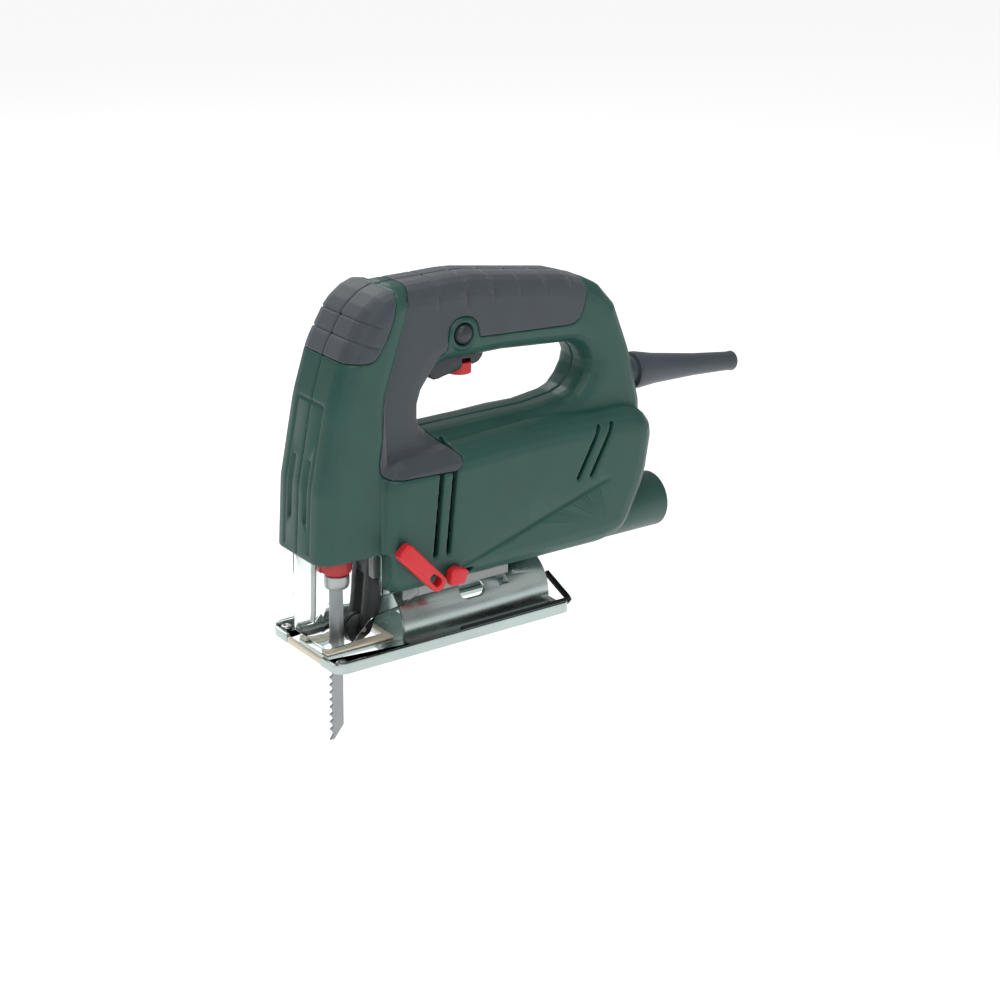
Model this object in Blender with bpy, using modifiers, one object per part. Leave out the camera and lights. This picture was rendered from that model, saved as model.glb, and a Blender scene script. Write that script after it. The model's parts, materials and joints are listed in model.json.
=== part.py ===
"""Jigsaw power tool, built as separate pieces round their real joints.

Metres, +Z up. The sole of the base plate lies in z = 0, the blade is at the front (-X),
the cable sleeve at the rear (+X), and the plane y = 0 is the split of the clamshell housing.
"""

import math

import bmesh
import bpy
from mathutils import Matrix, Vector

MM = 0.001
GAP = 0.3  # clearance between neighbouring pieces, mm

# Driving dimensions, all in millimetres.
BASE_LENGTH, BASE_WIDTH, WEB = 166.0, 74.0, 2.5
RAIL_HEIGHT, RAIL_WALL = 6.5, 2.5
TILT_Z, BARREL_R, BARREL_WALL = 8.0, 24.0, 2.0
BARREL_X = (-34.0, 76.0)
KEY_Y = -32.2
BODY_HALF, COLUMN_HALF, HANDLE_HALF = 33.5, 26.5, 19.5
WALL, GRIP_DEPTH = 2.5, 2.0
BODY_BOTTOM, COLUMN_BOTTOM = 34.5, 62.0
MOTOR_Z, GEAR_Z, PLUNGER_X = 82.0, 109.0, -61.0
SLEEVE_ROOT, SLEEVE_TIP = (147.0, 132.0), (238.0, 124.0)
PORT_Z, PORT_R, PORT_END = 43.5, 17.5, 175.0
GUARD_HALF = 20.5

PARTS = bpy.data.collections.new("jigsaw")
CUTTERS = bpy.data.collections.new("cutters")


# ---------------------------------------------------------------- materials

def material(name, colour, roughness, metallic=0.0, alpha=1.0):
    made = bpy.data.materials.new(name)
    made.use_nodes = True
    shader = made.node_tree.nodes["Principled BSDF"]
    shader.inputs["Base Color"].default_value = (*colour, 1.0)
    shader.inputs["Roughness"].default_value = roughness
    shader.inputs["Metallic"].default_value = metallic
    shader.inputs["Alpha"].default_value = alpha
    return made


GREEN = material("green_housing", (0.035, 0.115, 0.095), 0.45)
GRIP = material("dark_soft_grip", (0.06, 0.075, 0.09), 0.7)
RED = material("red_plastic", (0.65, 0.02, 0.03), 0.35)
BLACK = material("black_plastic", (0.02, 0.022, 0.024), 0.5)
ZINC = material("zinc_plated_steel", (0.62, 0.68, 0.68), 0.28, 1.0)
STEEL = material("machined_steel", (0.5, 0.5, 0.5), 0.35, 1.0)
BLUED = material("blackened_steel", (0.03, 0.03, 0.03), 0.4, 0.8)
CAST = material("cast_alloy", (0.35, 0.36, 0.36), 0.5, 1.0)
COPPER = material("copper_winding", (0.72, 0.32, 0.14), 0.35, 1.0)
BRASS = material("brass", (0.72, 0.52, 0.2), 0.35, 1.0)
CARBON = material("carbon", (0.03, 0.03, 0.03), 0.8)
CREAM = material("natural_plastic", (0.78, 0.7, 0.52), 0.45)
CLEAR = material("clear_polycarbonate", (0.9, 0.95, 0.95), 0.1, 0.0, 0.3)
BRONZE = material("sintered_bronze", (0.5, 0.33, 0.16), 0.55, 1.0)
NYLON = material("white_nylon", (0.7, 0.7, 0.66), 0.5)


# ---------------------------------------------------------------- modelling helpers

def keep(obj, look):
    """Files a finished piece in the jigsaw's collection with its material."""
    obj.data.materials.clear()
    obj.data.materials.append(look)
    obj.data.shade_smooth()
    obj.data.set_sharp_from_angle(angle=math.radians(35))
    for owner in list(obj.users_collection):
        owner.objects.unlink(obj)
    PARTS.objects.link(obj)
    return obj


def from_bmesh(name, bm, face_out=True):
    """New helper object; face_out is off after a Boolean, whose inner walls already face the right way."""
    if face_out:
        bmesh.ops.recalc_face_normals(bm, faces=bm.faces)
        if bm.calc_volume(signed=True) < 0:
            bmesh.ops.reverse_faces(bm, faces=bm.faces)
    mesh = bpy.data.meshes.new(name)
    bm.to_mesh(mesh)
    bm.free()
    obj = bpy.data.objects.new(name, mesh)
    CUTTERS.objects.link(obj)
    return obj


def box(name, x, y, z, bevel=0.0):
    """Box between two bounds on each axis, with rounded edges if asked."""
    bm = bmesh.new()
    size = Vector((x[1] - x[0], y[1] - y[0], z[1] - z[0])) * MM
    centre = Vector((x[0] + x[1], y[0] + y[1], z[0] + z[1])) * MM / 2
    bmesh.ops.create_cube(bm, size=1.0, matrix=Matrix.Translation(centre) @ Matrix.Diagonal((*size, 1)))
    if bevel:
        bmesh.ops.bevel(bm, geom=bm.edges[:], offset=bevel * MM, segments=2, affect="EDGES", profile=0.5)
    return from_bmesh(name, bm)


TURN = {"X": Matrix.Rotation(math.pi / 2, 4, "Y"), "Y": Matrix.Rotation(-math.pi / 2, 4, "X"), "Z": Matrix()}


def rod(name, axis, centre, radius, length, sides=20, end_radius=None):
    """Cylinder, or a cone with end_radius at its + end, along a world axis round its centre."""
    bm = bmesh.new()
    bmesh.ops.create_cone(
        bm, cap_ends=True, segments=sides, radius1=radius * MM,
        radius2=(radius if end_radius is None else end_radius) * MM, depth=length * MM,
        matrix=Matrix.Translation(Vector(centre) * MM) @ TURN[axis],
    )
    return from_bmesh(name, bm)


def turned(name, axis, centre, profile, steps=20):
    """Solid of revolution: profile lists (radius, distance along the axis), closed round."""
    mesh = bpy.data.meshes.new(name)
    points = [(r * MM, 0.0, h * MM) for r, h in profile]
    count = len(points)
    mesh.from_pydata(points, [(i, (i + 1) % count) for i in range(count)], [])
    obj = bpy.data.objects.new(name, mesh)
    CUTTERS.objects.link(obj)
    obj.matrix_world = Matrix.Translation(Vector(centre) * MM) @ TURN[axis]
    screw = obj.modifiers.new("turn", "SCREW")
    screw.steps = screw.render_steps = steps
    screw.use_merge_vertices = True
    screw.merge_threshold = 0.00001
    return baked(obj)


def baked(obj, raw=True):
    """Turns an object's evaluated shape, in world space, into its own mesh; raw shapes are welded first."""
    bpy.context.view_layer.update()
    graph = bpy.context.evaluated_depsgraph_get()
    evaluated = obj.evaluated_get(graph)
    mesh = bpy.data.meshes.new_from_object(evaluated)
    mesh.transform(obj.matrix_world)
    bm = bmesh.new()
    bm.from_mesh(mesh)
    if raw:
        bmesh.ops.remove_doubles(bm, verts=bm.verts, dist=0.000002)
    bmesh.ops.triangulate(bm, faces=bm.faces, ngon_method="EAR_CLIP")
    name = obj.name
    bpy.data.objects.remove(obj)
    bpy.data.meshes.remove(mesh)
    return from_bmesh(name, bm, raw)


def rounded(corners, degrees=30):
    """Closed outline from (u, v, radius) corners, each corner an arc."""
    points = []
    count = len(corners)
    for index, (u, v, radius) in enumerate(corners):
        here = Vector((u, v))
        before = (Vector(corners[index - 1][:2]) - here).normalized()
        after = (Vector(corners[(index + 1) % count][:2]) - here).normalized()
        angle = before.angle(after)
        turn = math.pi - angle
        if radius <= 0 or turn < 0.02:
            points.append(here)
            continue
        reach = radius / math.tan(angle / 2)
        centre = here + (before + after).normalized() * radius / math.sin(angle / 2)
        start, end = here + before * reach, here + after * reach
        steps = max(1, round(math.degrees(turn) / degrees))
        for step in range(steps + 1):
            arm = (start - centre).lerp(end - centre, step / steps)
            t = step / steps
            first = math.sin((1 - t) * turn) / math.sin(turn)
            second = math.sin(t * turn) / math.sin(turn)
            arm = (start - centre) * first + (end - centre) * second
            points.append(centre + arm)
    return points


def side_slab(name, outlines, y, bevel=0.0, inset=0.0, segments=1):
    """Side outlines (x, z) made solid from y[0] to y[1] with rounded rims; later outlines are holes."""
    data = bpy.data.curves.new(name, "CURVE")
    data.dimensions = "2D"
    data.fill_mode = "BOTH"
    round_off = max(bevel - inset, min(bevel, 1.5))
    half = (y[1] - y[0]) / 2 - inset
    data.extrude = (half - round_off) * MM
    data.bevel_depth = round_off * MM
    data.bevel_resolution = segments
    data.offset = -(round_off + inset) * MM
    for outline in outlines:
        spline = data.splines.new("POLY")
        spline.points.add(len(outline) - 1)
        for point, (u, v) in zip(spline.points, outline):
            point.co = (u * MM, v * MM, 0, 1)
        spline.use_cyclic_u = True
    obj = bpy.data.objects.new(name, data)
    CUTTERS.objects.link(obj)
    middle = Vector((0, (y[0] + y[1]) / 2 * MM, 0))
    obj.matrix_world = Matrix.Translation(middle) @ Matrix.Rotation(math.pi / 2, 4, "X")
    return baked(obj)


def tube_along(name, points, radius, sides=2):
    """Round bar along a polyline."""
    data = bpy.data.curves.new(name, "CURVE")
    data.dimensions = "3D"
    data.bevel_depth = radius * MM
    data.bevel_resolution = sides
    data.use_fill_caps = True
    spline = data.splines.new("POLY")
    spline.points.add(len(points) - 1)
    for point, place in zip(spline.points, points):
        point.co = (*(Vector(place) * MM), 1)
    obj = bpy.data.objects.new(name, data)
    CUTTERS.objects.link(obj)
    return baked(obj)


def combine(obj, others, operation):
    """Boolean of obj with each other object, which is used up.

    The rounded slabs have many nearly flat facets, on which the EXACT solver returns nothing."""
    for other in others:
        modifier = obj.modifiers.new(operation.lower(), "BOOLEAN")
        modifier.operation = operation
        modifier.solver = "MANIFOLD"
        modifier.object = other
        name = obj.name
        obj = baked(obj, raw=False)
        obj.name = name
        bpy.data.objects.remove(other)
    return obj


def cut(obj, *tools):
    return combine(obj, tools, "DIFFERENCE")


def join(obj, *others):
    return combine(obj, others, "UNION")


def common(obj, *others):
    return combine(obj, others, "INTERSECT")


def copy_of(obj, name):
    twin = bpy.data.objects.new(name, obj.data.copy())
    CUTTERS.objects.link(twin)
    return twin


def rest(obj, name, look):
    obj.name = name
    obj.data.name = name
    return keep(obj, look)


# ---------------------------------------------------------------- outlines of the casing (x, z, radius)

HANDLE_LOOP = [(-62, 92, 6), (-56, 190, 14), (-36, 213, 16), (20, 214, 60), (98, 203.5, 60), (125, 190, 26),
               (142, 150, 60), (152, 114, 30), (150, 92, 16)]
HAND_HOLE = [(-12.5, 124.5, 9), (-12.5, 147, 12), (0, 164, 10), (45, 164.5, 30), (99, 161, 9), (110, 149, 10),
             (99, 129.5, 16), (70, 125.5, 30)]
MOTOR_BODY = [(-48, 34.5, 16), (-48, 116, 16), (60, 121, 40), (136, 120, 18), (152, 108, 15), (147, 72, 40),
              (131, 38, 16), (112, 34.5, 16)]
FRONT_COLUMN = [(-88, 42, 15), (-85, 104, 20), (-76, 152, 60), (-67, 181, 30), (-54, 203, 16), (-41, 212.5, 14),
                (-19, 214.5, 11), (-29, 184, 20), (-40, 150, 30), (-38, 112, 20), (-36, 42, 15)]
GRIP_AREA = [(-20.5, 230, 0), (-21, 214, 0), (-29, 188, 30), (-42, 148, 60), (-47.6, 114, 8), (-43.8, 106.8, 5),
             (2, 105.5, 5), (7, 111, 4), (-10, 127, 10), (-7, 146, 14), (-3, 170, 6), (3, 172, 3),
             (3, 191, 9), (23, 191, 9), (25, 177.5, 2), (97, 174.5, 10), (103, 196, 12), (96, 230, 0)]
CAP_AREA = [(-110, 230, 0), (-110, 181, 0), (-62, 176.5, 0), (-50, 176, 8), (-41, 190, 30), (-33.5, 214, 0), (-33, 230, 0)]


def casing(name, inset):
    """Full outer body, or its copy set in by a wall thickness."""
    handle = side_slab(name, [rounded(HANDLE_LOOP), list(reversed(rounded(HAND_HOLE)))],
                       (-HANDLE_HALF, HANDLE_HALF), 12, inset, 3 if inset == 0 else 1)
    motor = side_slab("motor_part", [rounded(MOTOR_BODY)], (-BODY_HALF, BODY_HALF), 14, inset, 3 if inset == 0 else 1)
    column = side_slab("column_part", [rounded(FRONT_COLUMN)], (-COLUMN_HALF, COLUMN_HALF), 10.5, inset, 3 if inset == 0 else 1)
    foot = box("foot", (-120, -42.2 + inset), (-40, 40), (10, COLUMN_BOTTOM + inset))
    return cut(join(handle, motor, column), foot)


def area(name, outline, grow=0.0):
    """Side outline cut right through the casing, grown by a clearance if asked."""
    return side_slab(name, [rounded(outline)], (-45, 45), 0, -grow)


# Housing screws: x, z and the depth of casing there on each side.
SCREW_PLACES = [(-46, 195, 21), (-14, 196, 14.8), (112, 182, 17.5), (136, 104, 29), (132, 73, 31), (-20, 122, 14.8)]
HEAD_DEPTH = 4.5
LOCK_X, LOCK_Z, LOCK_R = 13.0, 181.0, 6.3
LEVER_X, LEVER_Z = -36.0, 63.0


def inner_bays():
    """Rooms that the gearing needs beyond the plain hollow."""
    return [
        box("plunger_bay", (-76.6, -47), (-13.7, 13.7), (50, 95.5)),
        box("gear_bay", (-60.4, -46.6), (-22.3, 22.3), (64.9, 132)),
        box("case_bay", (-59.5, -22), (-22.6, 22.6), (64.5, 111)),
        box("case_neck", (-50, -28), (-14.2, 14.2), (69.5, 158.5)),
        box("fork_bay", (-52, -27.5), (-14.6, 14.6), (30, 66)),
    ]


def casing_openings():
    """Cutters for every opening through the casing walls."""
    tools = [
        box("trigger_slot", (-3.5, 37.5), (-8.6, 8.6), (150, 176)),
        rod("lock_bore", "Y", (LOCK_X, -20, LOCK_Z), LOCK_R, 20, 20),
        rod("lever_bore", "Y", (LEVER_X, -30, LEVER_Z), 3.6, 16, 16),
        box("blower_slot", (-7, 14), (-40, -24), (40, 43.5)),
        rod("sleeve_hole", "X", (150, 0, 131.6), 9.6, 30, 20),
        rod("port_hole", "X", (140, 0, PORT_Z), PORT_R + GAP, 60, 28),
    ]
    tools += [vent(f"front_vent_{side}_{x}", x, 88, 66, 3.6, 6, side) for side in (-1, 1) for x in (-11, -2)]
    tools += [vent(f"rear_vent_{side}_{x}", x, 98, 32, 3.4, 17, side) for side in (-1, 1) for x in (97, 107)]
    return tools


def vent(name, x, z, height, width, lean, side):
    """Upright slot through one side wall; lean is how far its top leads its foot."""
    half = (width - 0.6) / 2
    low, high = z - height / 2, z + height / 2
    corners = [(x - half - lean / 2, low, half * 0.8), (x + half - lean / 2, low, half * 0.8),
               (x + half + lean / 2, high, half * 0.8), (x - half + lean / 2, high, half * 0.8)]
    reach = (14, 40) if side > 0 else (-40, -14)
    return side_slab(name, [rounded(corners, 45)], reach)


def half_space(side):
    limits = (0.15, 60) if side > 0 else (-60, -0.15)
    return box("half", (-200, 300), limits, (-50, 300))


def screw_boss(x, z, reach, side):
    """Column inside one half that a housing screw passes through."""
    return rod("boss", "Y", (x, side * (0.4 + reach / 2), z), 4.2, reach, 12)


def make_housing():
    """Two clamshell halves, their soft grips and the front cap, split at y = 0."""
    skin = casing("skin", 0)
    inner_skin = casing("inner_skin", GRIP_DEPTH + GAP)
    grips = common(copy_of(skin, "grips"), area("grip_area", GRIP_AREA))
    grips = cut(grips, casing("under_grip", GRIP_DEPTH))
    caps = common(copy_of(skin, "caps"), area("cap_area", CAP_AREA))
    caps = cut(caps, casing("under_cap", GRIP_DEPTH))
    for name, outline in (("grip_bed", GRIP_AREA), ("cap_bed", CAP_AREA)):
        bed = area(name, outline, GAP)
        skin = cut(skin, cut(bed, copy_of(inner_skin, "core")))
    bpy.data.objects.remove(inner_skin)
    hollow = join(casing("hollow", WALL + GRIP_DEPTH), *inner_bays())
    body = skin
    for side, word in ((-1, "left"), (1, "right")):
        half = common(copy_of(body, "half_body"), half_space(side))
        half = cut(half, copy_of(hollow, "half_hollow"))
        half = join(half, *[screw_boss(*place, side) for place in SCREW_PLACES])
        half = join(half, bearing_wall(side))
        if side < 0:
            half = join(half, lock_ring())
        half = cut(half, *openings_of(side))
        rest(half, f"housing_{word}", GREEN)
        grip = common(copy_of(grips, "grip"), half_space(side))
        if side < 0:
            grip = cut(grip, rod("ring_gap", "Y", (LOCK_X, -20, LOCK_Z), 9.8, 20, 24))
        rest(largest(grip), f"handle_grip_{word}", GRIP)
        rest(largest(common(copy_of(caps, "cap"), half_space(side))), f"front_grip_{word}", GRIP)
    for used in (body, hollow, grips, caps):
        bpy.data.objects.remove(used)


def largest(obj):
    """Keeps the biggest loose body of an object and drops the slivers cut off it."""
    bm = bmesh.new()
    bm.from_mesh(obj.data)
    left, groups = set(bm.faces), []
    while left:
        stack, group = [left.pop()], []
        while stack:
            face = stack.pop()
            group.append(face)
            near = {other for edge in face.edges for other in edge.link_faces} & left
            left -= near
            stack.extend(near)
        groups.append(group)
    groups.sort(key=lambda group: -sum(face.calc_area() for face in group))
    spare = [face for group in groups[1:] for face in group]
    bmesh.ops.delete(bm, geom=spare, context="FACES")
    bm.to_mesh(obj.data)
    bm.free()
    return obj


def bearing_wall(side):
    """Cross wall in one half that carries the rear bearing."""
    y = (0.4, 31.5) if side > 0 else (-31.5, -0.4)
    wall = box("bearing_wall", (119, 123), y, (52, 113))
    return cut(wall, rod("bearing_seat", "X", (121, 0, MOTOR_Z), 9.3, 20, 20))


def lock_ring():
    profile = [(9.2, 0), (9.2, 4.2), (8.4, 5.0), (7.4, 5.0), (6.6, 4.2), (6.6, 0)]
    return turned("ring", "Y", (LOCK_X, -16.0, LOCK_Z), [(r, -h) for r, h in profile], 24)


def openings_of(side):
    """The wall openings that this half has, and its screw bores."""
    tools = []
    for tool in casing_openings():
        ys = [corner[1] for corner in tool.bound_box]
        if min(ys) * side > 0.0005 or max(ys) * side > 0.0005:
            tools.append(tool)
        else:
            bpy.data.objects.remove(tool)
    for x, z, reach in SCREW_PLACES:
        if side > 0:
            tools.append(rod("bore", "Y", (x, 25, z), 2.1, 60, 12))
            tools.append(rod("counterbore", "Y", (x, reach - HEAD_DEPTH + 19, z), 3.7, 40, 16))
        else:
            tools.append(rod("pilot", "Y", (x, -5, z), 1.9, 14, 12))
    return tools


def make_housing_screws():
    for number, (x, z, reach) in enumerate(SCREW_PLACES, 1):
        seat = reach - HEAD_DEPTH
        head = rod("screw", "Y", (x, seat + 0.3, z), 3.3, 2.2, 16)
        shank = rod("shank", "Y", (x, (seat - 10) / 2, z), 1.6, seat + 10, 10)
        drive = rod("drive", "Y", (x, seat + 1.2, z), 1.4, 2.0, 6)
        rest(cut(join(head, shank), drive), f"housing_screw_{number}", ZINC)


# ---------------------------------------------------------------- handle controls, cable entry, port

def make_controls():
    outline = [(0, 150.5, 6), (8, 153, 8), (33, 158, 3), (36.5, 162, 2), (36.5, 173, 2), (-2.5, 173, 2), (-2.5, 158, 4)]
    trigger = side_slab("trigger", [rounded(outline)], (-7.6, 7.6), 2)
    trigger = cut(trigger, rod("wheel_well", "Z", (24, 0, 151), 8.3, 22, 24))
    rest(trigger, "trigger", GRIP)
    wheel = rod("wheel", "Z", (24, 0, 155.5), 7.4, 7.0, 30)
    wheel = join(wheel, rod("wheel_stem", "Z", (24, 0, 160.2), 2.5, 2.6, 12))
    rest(wheel, "speed_wheel", RED)
    rest(coil("trigger_spring", (8, 0, 173.4), 3.0, 0.5, 4.2, 3), "trigger_spring", STEEL)
    button = turned("button", "Y", (LOCK_X, 0, LOCK_Z), [(0, -23.6), (3, -23.0), (5.2, -21.4), (5.9, -19.2), (5.9, -12.5), (0, -12.5)], 20)
    rest(button, "lock_button", GRIP)
    switch = join(box("switch", (2, 42), (-7.4, 7.4), (181.5, 201), 0.8), box("terminals", (41, 50), (-5, 5), (184, 196), 0.5))
    rest(switch, "switch_unit", BLACK)
    rest(box("board", (56, 92), (-9, 9), (178, 192), 1), "speed_electronics", BLACK)


def coil(name, base, radius, wire, height, turns):
    """Compression spring standing on a point, along Z."""
    steps = 10
    points = []
    for index in range(turns * steps + 1):
        angle = 2 * math.pi * index / steps
        rise = wire + (height - 2 * wire) * index / (turns * steps)
        points.append((base[0] + radius * math.cos(angle), base[1] + radius * math.sin(angle), base[2] + rise))
    return tube_along(name, points, wire, 1)


def make_cable_entry():
    run = Vector((SLEEVE_TIP[0] - SLEEVE_ROOT[0], 0, SLEEVE_TIP[1] - SLEEVE_ROOT[1]))
    length = run.length
    profile = [(3.6, 0), (8.6, 0), (8.6, 5.6), (11.6, 6.4), (11.6, 10), (9.6, 24), (7.0, 58), (6.0, length - 5),
               (6.4, length - 1), (6.0, length), (3.6, length)]
    sleeve = turned("sleeve", "X", (0, 0, 0), profile, 24)
    slope = Matrix.Rotation(math.atan2(-run.z, run.x), 4, "Y")
    sleeve.data.transform(Matrix.Translation(Vector((SLEEVE_ROOT[0], 0, SLEEVE_ROOT[1])) * MM) @ slope)
    rest(sleeve, "cable_sleeve", BLACK)
    rest(box("bridge", (124, 131), (-8, 8), (127.5, 131.2), 0.8), "cable_clamp", BLACK)


def make_port():
    profile = [(15.0, 128), (17.3, 128), (17.5, 134), (17.5, PORT_END - 1), (16.8, PORT_END), (15.6, PORT_END), (15.0, PORT_END - 1)]
    rest(turned("port", "X", (0, 0, PORT_Z), profile, 32), "dust_port", GREEN)
    duct = turned("duct", "X", (0, 0, 46.7), [(5.6, -26), (6.9, -26), (6.9, 127), (5.6, 127)], 14)
    rest(duct, "suction_duct", BLACK)


# ---------------------------------------------------------------- motor and gearing

def make_motor():
    shaft = turned("shaft", "X", (0, 0, MOTOR_Z), [(0, -48), (3.0, -48), (3.0, 126.5), (0, 126.5)], 14)
    rest(join(shaft, toothed("pinion", -54.0, -47.2, MOTOR_Z, 4.6, 3.4, 8)), "armature_shaft", STEEL)
    rest(slotted_core(), "armature_core", STEEL)
    bars = turned("commutator", "X", (0, 0, MOTOR_Z), [(3.3, 94), (11.5, 94), (11.5, 108), (3.3, 108)], 24)
    rest(bars, "commutator", COPPER)
    windings = turned("windings", "X", (0, 0, MOTOR_Z), [(3.3, 76.4), (15.5, 76.4), (17, 80), (12, 92), (3.3, 92)], 20)
    rest(windings, "armature_winding", COPPER)
    rest(fan(), "cooling_fan", BLACK)
    rest(stator(), "field_stator", STEEL)
    rest(turned("rear", "X", (0, 0, MOTOR_Z), [(3.3, 117.5), (9.0, 117.5), (9.0, 124.5), (3.3, 124.5)], 20), "rear_bearing", STEEL)
    rest(turned("front", "X", (0, 0, MOTOR_Z), [(3.3, -35), (9.5, -35), (9.5, -27), (3.3, -27)], 20), "front_bearing", STEEL)
    for side, word in ((-1, "left"), (1, "right")):
        inner, outer = sorted((side * 13.4, side * 28))
        holder = box("holder", (96, 106), (inner, outer), (MOTOR_Z - 5, MOTOR_Z + 5))
        bore = box("holder_bore", (97.6, 104.4), sorted((side * 10, side * 30)), (MOTOR_Z - 3.4, MOTOR_Z + 3.4))
        rest(cut(holder, bore), f"brush_holder_{word}", BRASS)
        brush = box("brush", (98, 104), sorted((side * 11.9, side * 25)), (MOTOR_Z - 3, MOTOR_Z + 3))
        rest(brush, f"carbon_brush_{word}", CARBON)


def toothed(name, x0, x1, z, outer, root, teeth):
    """Spur gear on an axis along X, with plain trapezoid teeth."""
    outline = []
    for tooth in range(teeth):
        for part, radius in ((-0.32, root), (-0.16, outer), (0.16, outer), (0.32, root)):
            angle = 2 * math.pi * (tooth + part) / teeth
            outline.append((radius * math.cos(angle), radius * math.sin(angle)))
    slab = side_slab(name, [outline], (0, x1 - x0))
    turn = Matrix.Translation(Vector((x1, 0, z)) * MM) @ Matrix.Rotation(math.pi / 2, 4, "Z")
    slab.data.transform(turn)
    return slab


def slotted_core():
    core = turned("core", "X", (0, 0, MOTOR_Z), [(3.3, 30), (18.5, 30), (18.5, 76), (3.3, 76)], 24)
    for index in range(8):
        angle = math.radians(45 * index + 15)
        slot = box("slot", (20, 90), (-1.1, 1.1), (15.5, 22))
        slot.data.transform(Matrix.Translation((0, 0, MOTOR_Z * MM)) @ Matrix.Rotation(angle, 4, "X"))
        core = cut(core, slot)
    return core


def fan():
    """Hub disc with straight radial blades."""
    wheel = turned("fan", "X", (0, 0, MOTOR_Z), [(3.3, 10), (27, 10), (27, 11.6), (8, 11.6), (8, 20), (3.3, 20)], 20)
    for index in range(8):
        blade = box("fan_blade", (11, 19.6), (-0.7, 0.7), (7.2, 26.4))
        blade.data.transform(Matrix.Translation((0, 0, MOTOR_Z * MM)) @ Matrix.Rotation(math.radians(45 * index), 4, "X"))
        wheel = join(wheel, blade)
    return wheel


def stator():
    ring = turned("stator", "X", (0, 0, MOTOR_Z), [(19.4, 28), (27.8, 28), (27.8, 78), (19.4, 78)], 24)
    flats = [box("flat", (20, 90), sorted((side * 25.5, side * 40)), (40, 130)) for side in (-1, 1)]
    return cut(ring, *flats)


def make_gearing():
    """Gear case with its bushes, crank gear and the reciprocating plunger."""
    plate = box("plate", (-38, -27), (-22, 22), (65, 110), 1)
    top_arm = box("top_arm", (-69.5, -30), (-10, 10), (137, 147), 1)
    riser = box("riser", (-38, -29), (-12, 12), (100, 147), 1)
    bottom_arm = box("bottom_arm", (-46, -30), (-13, 13), (65, 72), 1)
    case = join(plate, top_arm, riser, bottom_arm)
    case = cut(
        case,
        rod("front_seat", "X", (-31, 0, MOTOR_Z), 9.8, 30, 24),
        rod("gear_seat", "X", (-34, 0, GEAR_Z), 3.8, 30, 16),
        rod("bush_seat", "Z", (PLUNGER_X, 0, 142), 7.3, 20, 20),
    )
    rest(case, "gear_case", CAST)
    rest(turned("bush", "Z", (PLUNGER_X, 0, 0), [(4.9, 136), (7.0, 136), (7.0, 148), (4.9, 148)], 20), "plunger_bush_upper", BRONZE)
    lower = turned("bush", "Z", (PLUNGER_X, 0, 0), [(4.9, 97.5), (7.0, 97.5), (7.0, 101.5), (4.9, 101.5)], 20)
    rest(lower, "plunger_bush_lower", BRONZE)
    gear = toothed("crank", -53.5, -47.2, GEAR_Z, 21.9, 20.4, 24)
    gear = join(gear, rod("gear_axle", "X", (-33, 0, GEAR_Z), 3.5, 26, 14), rod("gear_hub", "X", (-44, 0, GEAR_Z), 7, 8, 16))
    rest(gear, "crank_gear", STEEL)
    plunger = rod("plunger", "Z", (PLUNGER_X, 0, 105), 4.6, 90, 20)
    rest(plunger, "plunger", STEEL)


def make_blade_drive():
    """Blade clamp, its release lever and spring, and the saw blade."""
    x = PLUNGER_X
    body = turned("clamp", "Z", (x, 0, 0), [(0, 37), (7.2, 37), (8.0, 39), (8.0, 44.5), (6.6, 45.2), (6.6, 57.5), (8.0, 58), (8.0, 59.4), (0, 59.4)], 24)
    slot = box("blade_slot", (x - 5.8, x + 5.8), (-1.1, 1.1), (30, 50))
    rest(cut(body, slot), "blade_clamp", STEEL)
    ring = turned("collar", "Z", (x, 0, 0), [(7.0, 46), (9.2, 46), (9.6, 47), (9.6, 56), (9.2, 57), (7.0, 57)], 20)
    tab = side_slab("tab", [rounded([(-72.8, 46.5, 2), (-72.8, 56.5, 2), (-69.0, 56.5, 0), (-69.0, 46.5, 0)])], (-3, 3), 1)
    rest(join(ring, tab), "clamp_lever", RED)
    blade = [(-65.2, 47, 0), (-64.5, 49, 0), (-57.5, 49, 0), (-56.6, 47, 0), (-56.6, -52, 0), (-63, -60, 0), (-65.8, -60, 0)]
    pitch, top = 4.8, 4.0
    for tooth in range(13):
        foot = -58 + pitch * tooth
        blade += [(-63.6, foot + 1.4, 0), (-64.2, foot + 3.0, 0), (-65.8, foot + pitch, 0)]
    blade.append((-65.2, top + 2, 0))
    rest(side_slab("blade", [rounded(blade)], (-0.65, 0.65)), "saw_blade", STEEL)


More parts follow.
